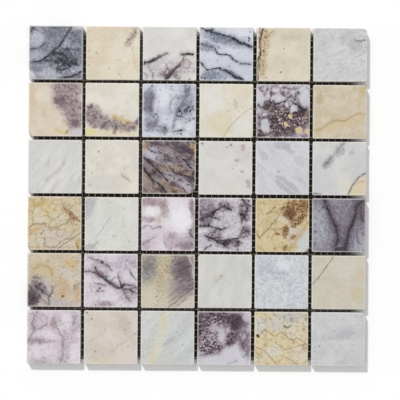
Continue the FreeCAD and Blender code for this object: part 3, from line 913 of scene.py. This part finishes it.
stone = lay_tile(4, 6, (151, 148, 158), (129, 124, 136), 7, chips=[(24, 24, 2.4)])
stone.stain((169, 171, 180), (-18, 1, 8, 19), 0.8)
stone.stain((180, 180, 189), (19, -16, 6, 11), 0.7)
stone.stain((135, 127, 141), (5, 8, 9, 16), 0.6)
stone.cloud((103, 91, 107), 2.8, 0.48, 0.68, 0.7)
stone.cloud((178, 174, 184), 2.6, 0.56, 0.7, 0.5)
for width, tint, most in ((5.2, (80, 66, 78), 0.8), (1.9, (38, 27, 36), 1)):
    stone.vein(
        tint, [(-14, 24), (-11, 16), (-6, 6), (-1, -7), (-1, -14), (-4, -24)], width, most, 0.1, 0.8, 0.35)
    stone.vein(
        tint, [(20, 22), (15, 16), (14, 7), (10, -4), (7, -13), (6, -24)], width * 1.2, most, 0.1, 0.8, 0.35)
stone.stain((101, 84, 99), (20, 13, 5, 8), 0.6)
stone.vein((61, 47, 61), [(21, 22), (19, 12), (21, 4)], 2.2, 0.8)
stone.vein((81, 68, 84), [(16, -6), (18, -15)], 1.2, 0.8)
stone.stain((42, 29, 41), (2, -22, 6, 3), 0.8)
stone.stain((69, 55, 69), (6, -16, 3, 6), 0.5)
stone.specks((50, 40, 55), [(-14, 16, 1.4), (-13, 20, 1.1), (-20, 21, 0.9), (-21, -6, 1.6)], 0.7)
stone.finish(1.7)

# Fifth row of marble tiles: ochre with a dark mossy corner, lilac white with a branching vein, bands of plum
# and straw, plain white, frosted blue grey, and beige with a straight crack
stone = lay_tile(5, 1, (207, 195, 172), (197, 183, 161), 9)
for tint, oval, most in (
        ((210, 173, 109), (15, 15, 6, 4.6, -20), 0.7), ((204, 184, 142), (-8, 9, 14, 7, -20), 0.6),
        ((207, 201, 192), (12, 6, 9, 5, -30), 0.75), ((193, 166, 130), (7, -8, 6, 11), 0.75),
        ((196, 160, 119), (22, -12, 4, 8), 0.6), ((177, 169, 174), (-12, -9, 13, 11), 0.9),
        ((182, 175, 180), (0, -21, 20, 4), 0.8)):
    stone.stain(tint, oval, most, 1.6, 0.8)
stone.cloud((166, 144, 105), 3, 0.52, 0.68, 0.6)
stone.vein((171, 137, 85), [(-18, 11), (-10, 14), (-3, 9), (-2, 3)], 1.6, 0.5)
moss = stone.fill((120, 106, 112), [(-21, -15, 9, 11), (-13, -7, 8, 5, -30)], 0.7)
stone.cloud((90, 78, 86), 2.2, 0.46, 0.62, 0.6, within=[(-16, 2, 5, 3)])
stone.cloud((50, 37, 42), 2.6, 0.42, 0.6, 0.95, within=moss)
stone.stain((58, 40, 46), (-20, -17, 8, 8), 0.75)
for path, width in (
        ([(-16, -5), (-9, -12), (-4, -15)], 1.3), ([(-1, -6), (-2, -11), (-5, -15), (-4, -22)], 1.1),
        ([(-12, -15), (-7, -21)], 1), ([(-18, 2), (-13, 1)], 1.4), ([(24, -3), (20, -4), (18, -7)], 1.1)):
    stone.vein((76, 67, 75), path, width, 0.8)
stone.specks((97, 73, 44), [(8, -15, 1.3), (17, 12, 0.8)], 0.9)
stone.finish(1.4)

stone = lay_tile(5, 2, (219, 213, 219), (207, 198, 207))
stone.fill(
    (193, 180, 193), [(14, 16, 11, 9), (16, -13, 9, 8), (-11, 11, 9, 9), (-8, -21, 11, 4)], 0.7,
    ((134, 114, 132), 1.8, 0.5, 0.64, 0.75))
stone.web((130, 114, 128), 6, 0.9, 0.35)
for path, width, most in (
        ([(-24, 8), (-16, 7), (-11, 6), (-5, 0), (5, -6), (10, -5), (12, -3), (18, -4), (24, -7)], 1.6, 0.95),
        ([(-14, 12), (-9, 3), (2, -3), (9, -6), (15, -8), (24, -11)], 1.9, 0.95),
        ([(7, 5), (10, -4)], 1.2, 0.9), ([(-18, 20), (-9, 17), (-2, 13), (0, 9)], 1.6, 0.8),
        ([(17, 8), (23, 1)], 1.2, 0.85), ([(-14, -3), (-5, -4)], 1.1, 0.8),
        ([(-10, -6), (-12, -10), (-6, -9)], 1.1, 0.8), ([(12, -8), (14, -14), (17, -18)], 1.2, 0.7),
        ([(4, 3), (0, -2)], 1, 0.7), ([(-8, 5), (3, -5)], 1, 0.8)):
    stone.vein((56, 40, 54), path, width * 0.9, most)
stone.cloud((79, 66, 77), 2, 0.48, 0.62, 0.75, within=[(17, -11, 8, 6), (-2, 1, 12, 3, -35)])
stone.stain((93, 62, 63), (-10, 7, 5, 3, -20), 0.6, 2)
stone.stain((129, 104, 105), (-5, -21, 6, 3, 10), 0.55, 2.2)
stone.specks((49, 38, 51), [(10, -4, 1.9), (-8, 17, 1.3), (-10, -7, 0.9)], 0.9)
stone.finish(1.1)

stone = lay_tile(5, 3, (197, 189, 169), (186, 177, 160))
for tint, oval, most in (
        ((124, 116, 118), (-18, 12, 10, 14), 0.9), ((112, 97, 107), (14, 9, 14, 17, 20), 0.9),
        ((140, 124, 132), (14, -6, 14, 9, 25), 0.8), ((207, 200, 177), (-15, -15, 15, 11), 0.9),
        ((207, 198, 191), (17, -20, 12, 5, 20), 0.8), ((192, 179, 147), (-5, 8, 6, 22, -8), 0.8),
        ((167, 164, 170), (-19, 5, 5, 2.4, 30), 0.6), ((84, 69, 80), (15, 13, 10, 13, 20), 0.6)):
    stone.stain(tint, oval, most, 1.6, 0.8)
stone.cloud((128, 102, 69), 1.4, 0.52, 0.62, 0.85, within=[(-5, 8, 6, 24, -8)])
stone.cloud((228, 221, 197), 1.6, 0.56, 0.66, 0.7, within=[(-5, 8, 6, 24, -8)])
stone.cloud((64, 50, 61), 2.4, 0.46, 0.64, 0.75, 4, 28, [(15, 8, 12, 17, 15)])
stone.cloud((87, 81, 82), 2, 0.5, 0.66, 0.6, within=[(-17, 12, 9, 12)])
stone.cloud((150, 136, 143), 1.2, 0.53, 0.64, 0.5, 4, 28, [(15, 8, 11, 15, 15)])
for shift, most in ((0, 0.9), (4, 0.6), (-5, 0.6), (9, 0.5)):
    stone.vein((100, 79, 91), [(1, -23 + shift), (11, -14 + shift), (25, -4 + shift)], 0.8, most)
stone.vein((197, 191, 192), [(18, 24), (21, 17), (23, 4)], 1.4, 0.8)
stone.specks(
    (133, 106, 73), [(-10, -9, 0.8), (-10, -13, 0.7), (-9, -17, 0.8), (-10, -21, 0.7), (-9, -4, 0.8)], 0.8)
stone.finish(1.6)

stone = lay_tile(5, 4, (212, 211, 206), (203, 202, 198), stretch=2, turn=80, chips=[(-24, 24, 1.8)])
stone.cloud((194, 194, 196), 5, 0.5, 0.74, 0.5, 2.5, 80)
stone.stain((192, 193, 197), (19, 9, 4, 9, 10), 0.6)
stone.vein((180, 176, 166), [(-9, -1), (-3, 5)], 1.4, 0.7)
stone.specks((145, 144, 140), [(-3, 5, 1.1)], 0.7)
stone.vein((198, 197, 194), [(6, 22), (9, -4), (7, -22)], 3, 0.4)
stone.finish()

stone = lay_tile(5, 5, (214, 215, 219), (200, 201, 207), 6)
stone.cloud((181, 183, 191), 2.4, 0.46, 0.66, 0.65)
stone.cloud((227, 228, 232), 2.4, 0.54, 0.68, 0.7, 2, 30)
stone.cloud((168, 170, 179), 1.2, 0.53, 0.64, 0.6)
stone.stain((172, 174, 183), (-13, 13, 9, 8), 0.4)
stone.stain((222, 223, 228), (2, 15, 7, 5), 0.7)
stone.stain((172, 174, 182), (-3, 8, 8, 1.8, -4), 0.6)
stone.stain((169, 172, 181), (-5, 3, 6, 1.3, 4), 0.6)
stone.finish(1.8)

stone = lay_tile(5, 6, (206, 199, 182), (198, 191, 175))
stone.stain((204, 190, 142), (19, 8, 5, 5), 0.4)
stone.stain((201, 188, 144), (17, -10, 6, 8, 20), 0.4)
stone.stain((213, 207, 196), (4, 12, 13, 10), 0.5)
stone.cloud((188, 179, 158), 4, 0.54, 0.76, 0.4)
stone.crack((105, 95, 78), [(-4, 24), (-11, 14), (-18, 4), (-25, -4)], 0.6, 0.95)
stone.finish()

# Near row of marble tiles: rose veins in white, freckled cream, blue white with a straw band, crumbled plum,
# cracked gold, and plain grey
stone = lay_tile(6, 1, (221, 214, 220), (207, 194, 202), 9)
stone.fill(
    (194, 180, 187), [(-15, 14, 11, 11), (1, 13, 5, 8, -15), (-14, -4, 12, 4), (19, 13, 7, 11),
     (10, -5, 5, 12), (-12, -22, 13, 4), (9, -19, 7, 7)], 0.6, ((142, 122, 131), 2.4, 0.48, 0.66, 0.65))
for tint, oval, most in (
        ((148, 121, 122), (0, 13, 3, 5, -15), 0.5), ((152, 130, 134), (-16, -4, 9, 2.6), 0.4),
        ((224, 218, 224), (-3, 1, 8, 4, -25), 0.8), ((223, 217, 222), (-12, -13, 11, 6), 0.75),
        ((224, 218, 225), (12, 16, 5, 6), 0.7), ((226, 221, 226), (20, -17, 6, 8), 0.7)):
    stone.stain(tint, oval, most)
stone.web((142, 117, 129), 5.5, 0.9, 0.3)
stone.cloud((128, 104, 112), 1.4, 0.52, 0.62, 0.6, within=[(11, -17, 4, 8)])
for path, width, most in (
        ([(-15, 23), (-18, 17), (-19, 11), (-17, 7), (-11, 8), (-6, 12)], 1.2, 0.8),
        ([(-18, 9), (-20, 1), (-24, -4)], 1.3, 0.75), ([(-24, -3), (-15, -2), (-8, -5), (2, -3)], 1.8, 0.5),
        ([(2, 9), (8, 1), (8, -6), (9, -14), (5, -24)], 1, 0.7), ([(19, 19), (17, 13)], 1.8, 0.6),
        ([(23, 10), (15, 2), (17, -5)], 1.1, 0.45), ([(-18, -23), (-8, -23)], 1.6, 0.5)):
    stone.vein((118, 94, 104), path, width, most * 0.85)
stone.finish(1.4)

stone = lay_tile(6, 2, (215, 206, 197), (207, 197, 186))
stone.stain((188, 180, 169), (12, 12, 6, 9, 10), 0.5)
stone.stain((215, 205, 169), (-10, -21, 10, 3), 0.5)
stone.stain((216, 208, 196), (13, -17, 8, 7), 0.5)
stone.cloud(
    (135, 126, 116), 1.3, 0.58, 0.66, 0.7, within=[(15, 11, 8, 12), (-19, 18, 6, 7), (-14, -15, 9, 8)])
stone.vein((172, 160, 141), [(-5, 5), (-19, -4)], 1, 0.4)
stone.vein((152, 142, 125), [(22, 4), (13, -4), (1, -12)], 0.8, 0.4)
stone.specks((66, 60, 57), [(-22, 22, 1.2), (-17, 17, 0.9), (16, 13, 0.8), (-4, 7, 1)], 0.65)
stone.specks(
    (130, 120, 106), [(-14, -12, 1.1), (-14, -20, 0.8), (15, -8, 0.9), (13, 7, 0.9), (22, 4, 0.9)], 0.7)
stone.finish()

stone = lay_tile(6, 3, (207, 209, 207), (196, 198, 198), 10, 3, 38)
stone.cloud((181, 184, 187), 3.4, 0.48, 0.7, 0.6, 4, 38)
stone.vein((216, 211, 184), [(0, 24), (-3, 14), (-6, 3), (-8, -5), (-11, -14), (-16, -24)], 7, 0.75, 0.1, 0.8)
stone.stain((208, 193, 148), (-4, 15, 2.8, 8, -10), 0.5, 2, 0.9)
stone.stain((208, 197, 150), (-13, -19, 4, 6, -10), 0.5, 2, 0.9)
stone.stain((169, 173, 179), (1, -3, 6, 2, 40), 0.6)
stone.specks((163, 166, 171), [(15, 15, 1.1), (13, -6, 1.3), (8, 5, 1)], 0.5)
stone.finish(1.4)

stone = lay_tile(6, 4, (208, 203, 212), (189, 181, 192))
stone.fill(
    (68, 47, 59), [(-8, 19, 24, 8), (-20, 5, 8, 19), (12, 14, 9, 10), (7, 1, 6, 12, -35), (-12, -8, 13, 9),
     (-9, 10, 12, 9)], 0.93, ((158, 138, 150), 2.8, 0.5, 0.6, 0.9), ((140, 118, 132), 1.5, 0.54, 0.6, 0.7),
    ((45, 28, 39), 2.2, 0.48, 0.56, 0.85))
stone.cloud((206, 190, 202), 2, 0.53, 0.58, 0.9, within=[(-13, -4, 13, 14), (-8, 12, 9, 8)])
stone.stain((165, 151, 165), (19, 1, 7, 15, 10), 0.75)
stone.stain((62, 43, 57), (9, 14, 9, 7), 0.75)
stone.stain((197, 186, 197), (21, 20, 5, 5), 0.85)
stone.stain((200, 195, 202), (-2, 3, 3.6, 8, 15), 0.85, 1.1)
stone.stain((193, 185, 194), (-9, 9, 4, 4), 0.7)
stone.stain((127, 88, 98), (15, -6, 4, 6), 0.6)
stone.stain((205, 202, 209), (3, -21, 30, 7, 4), ragged=1.2, soft=0.45)
stone.stain((203, 200, 207), (4, -13, 10, 6, 25), 0.9, 1.2, 0.45)
stone.web((98, 80, 95), 3.4, 0.8, 0.7, [(19, -3, 6, 16, 8)], None, 3, 70)
stone.vein((94, 76, 92), [(12, 6), (16, -4), (21, -16)], 1.3, 0.8)
stone.vein((153, 146, 161), [(4, -23), (11, -20)], 1.2, 0.7)
stone.finish(1.4)

stone = lay_tile(6, 5, (217, 202, 165), (209, 195, 162), 8)
stone.stain((205, 200, 187), (6, 17, 22, 9), 0.75)
for tint, oval in (
        ((202, 208, 206), (-19, 12, 6, 9)), ((195, 196, 195), (-5, 12, 7, 5)),
        ((189, 190, 191), (8, 20, 12, 4)), ((214, 207, 191), (10, 6, 11, 6, -25)),
        ((213, 210, 200), (-7, -11, 8, 6)), ((214, 204, 193), (18, -13, 9, 9)),
        ((211, 202, 185), (-19, -19, 5, 5))):
    stone.stain(tint, oval, 0.75, 1.4)
stone.cloud((184, 161, 116), 3, 0.5, 0.66, 0.65)
stone.web((150, 122, 76), 6, 0.6, 0.55)
for path, width in (
        ([(-15, 9), (-6, 2), (0, 6), (7, 0), (11, -1), (14, 1), (23, -5)], 0.8), ([(-22, 1), (-14, 8)], 0.7),
        ([(-24, -7), (-15, -10), (-9, -17), (-2, -24)], 0.8), ([(-5, -4), (5, -10), (9, -8), (22, -5)], 0.6),
        ([(0, -15), (9, -19), (16, -24)], 0.7), ([(-22, -12), (-17, -17)], 0.7), ([(-8, 23), (-4, 20)], 1)):
    stone.crack((118, 90, 52), path, width * 0.65, 0.8)
stone.vein((79, 73, 70), [(3, 11), (6, 10), (8, 12)], 0.9)
stone.specks((31, 23, 18), [(-21, 3, 1.4), (-20, 2, 1)])
stone.specks((108, 103, 99), [(9, 18, 1.8), (-5, -3, 0.9), (8, -9, 0.8)], 0.5)
stone.specks((121, 87, 49), [(22, 18, 1.8), (-10, 18, 1), (19, 14, 1.2), (20, 8, 1.6)], 0.45)
stone.finish(1.3)

stone = lay_tile(6, 6, (207, 207, 208), (196, 196, 198), 9, 1.8, chips=[(24, 24, 2.4)])
stone.cloud((180, 181, 185), 3, 0.5, 0.7, 0.55, 2.2)
stone.stain((172, 173, 178), (5, 4, 9, 4, 15), 0.6)
stone.stain((178, 179, 183), (-9, 2, 7, 3, 10), 0.5)
stone.stain((176, 178, 181), (3, -21, 7, 3), 0.5)
stone.specks((88, 89, 95), [(-16, -6, 1)], 0.85)
stone.finish(1.8)

# Net: glass yarns coated with resin and glued across the backs of the tiles, seen only in the joints
# The weft is one flat yarn. The warp is a pair of thin yarns that turn about each other between the wefts
# What runs along a joint is painted brown, partly glue and partly painted shade, and what crosses it stays
# pale
JOINT_STEP = 50.8 * MM
WARP_STEP = 5.8 * MM
WEFT_STEP = 6.2 * MM
YARN_WIDTH = 0.8 * MM
# Half the height of a weft yarn and of one thin warp yarn, and how far a weft waves as it meets the warps
WEFT_HALF_HEIGHT = 0.1 * MM
WARP_HALF_HEIGHT = 0.06 * MM
WEFT_WAVE = 0.02 * MM
MOST_CUT_BACK = 1.4 * MM
WEFT_SAMPLES = 101
WARP_SAMPLES_A_STEP = 4
# How dense the fibres are along a yarn, across it and in its height, in features per metre
FIBRES = (260.0, 2600.0, 1600.0)


def yarn_lines(low, high, over, step, samples):
    """Points along the middle of each yarn of a layer, from one side of its box to the other.

    over says which axis, 0 or 1, lies across the yarns. Each end is cut back a little, by chance.
    """
    along = 1 - over
    count = round((high[over] - low[over] - YARN_WIDTH) / step) + 1
    cut = draw.uniform(0, MOST_CUT_BACK, (2, count))
    starts, stops = low[along] + cut[0], high[along] - cut[1]
    share = np.linspace(0, 1, samples)
    lines = np.zeros((count, samples, 3))
    lines[..., along] = starts[:, None] * (1 - share) + stops[:, None] * share
    lines[..., over] = np.linspace(low[over] + YARN_WIDTH / 2, high[over] - YARN_WIDTH / 2, count)[:, None]
    lines[..., 2] = (low[2] + high[2]) / 2
    return lines


def yarn_mesh(name, lines, over, wide, tall, sides):
    """Yarns as flattened tubes: an ellipse of the given half sizes carried along each line of points."""
    count, samples = lines.shape[:2]
    turn = np.linspace(0, 2 * np.pi, sides, endpoint=False) * (1 if over == 0 else -1)
    section = np.zeros((sides, 3))
    section[:, over] = np.cos(turn) * wide
    section[:, 2] = np.sin(turn) * tall
    points = lines[:, :, None] + section
    numbers = np.arange(count * samples * sides).reshape(count, samples, sides)
    onward = np.roll(numbers, -1, 2)
    walls = np.stack([numbers[:, :-1], numbers[:, 1:], onward[:, 1:], onward[:, :-1]], 3).reshape(-1, 4)
    ends = np.concatenate([numbers[:, 0], numbers[:, -1, ::-1]])
    return smooth_mesh(name, points, walls.tolist() + ends.tolist(), 60)


def net_material(name, over):
    """Resin-coated glass yarn: fine fibres along it, and brown where it runs in a joint, partly glue and
    partly painted shade.
    """
    material, shader, place = new_material(name, 0.5)
    shader.inputs["Roughness"].default_value = 0.42
    across = place.node("SeparateXYZ", {}, {0: place}).part(over)
    along_yarn, across_yarn, high = FIBRES
    fibres = place.mapped("POINT", size=(across_yarn, along_yarn, high) if over == 0 else FIBRES)
    fibres = fibres.node("TexNoise", {}, {"Vector": fibres, "Scale": 1.0, "Detail": 3.0})
    soiled = place.node("TexNoise", {}, {"Vector": place, "Scale": 90.0, "Detail": 3.0})
    # Glue and painted shade: yarn that runs along a joint is darkened toward brown
    joint_glue_and_shade = across.math("PINGPONG", JOINT_STEP / 2).fade(1.0 * MM, 1.8 * MM, 0.72)
    pale = fibres.fade(0.3, 0.7).mix(paint(222, 220, 212), paint(190, 187, 178))
    pale = soiled.fade(0.62, 0.5, 0.5).mix(pale, paint(150, 140, 122))
    joint_glue_and_shade.mix(pale, paint(70, 60, 48)).lead(shader, "Base Color")
    bump = fibres.node("Bump", {}, {"Strength": 0.4, "Distance": 0.03 * MM, "Height": fibres})
    bump.lead(shader, "Normal")
    return material


def hang_net(node, mesh, material):
    """Put a layer of the net in the place of its solid."""
    piece = add_object(node + "_yarns", mesh)
    mesh.materials.append(material)
    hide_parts(node)
    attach(piece, "root")


draw = np.random.default_rng(7)
low, high = (np.array(corner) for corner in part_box("net_weft"))
weft = yarn_lines(low, high, 1, WEFT_STEP, WEFT_SAMPLES)
weft[..., 2] += WEFT_WAVE * np.cos(2 * np.pi * weft[..., 0] / WARP_STEP)
weft_mesh = yarn_mesh("weft_yarns", weft, 1, YARN_WIDTH / 2, WEFT_HALF_HEIGHT, 6)
hang_net("net_weft", weft_mesh, net_material("weft_resin", 1))

low, high = (np.array(corner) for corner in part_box("net_warp"))
samples = WARP_SAMPLES_A_STEP * round((high[1] - low[1]) / WEFT_STEP) + 1
warp = np.repeat(yarn_lines(low, high, 0, WARP_STEP, samples), 2, 0)
turned = np.pi * warp[..., 1] / WEFT_STEP + np.tile([0, np.pi], len(warp) // 2)[:, None]
warp[..., 0] += YARN_WIDTH / 4 * np.cos(turned)
warp[..., 2] += WARP_HALF_HEIGHT * np.sin(turned)
warp_mesh = yarn_mesh("warp_yarns", warp, 0, YARN_WIDTH / 4, WARP_HALF_HEIGHT, 4)
hang_net("net_warp", warp_mesh, net_material("warp_resin", 0))
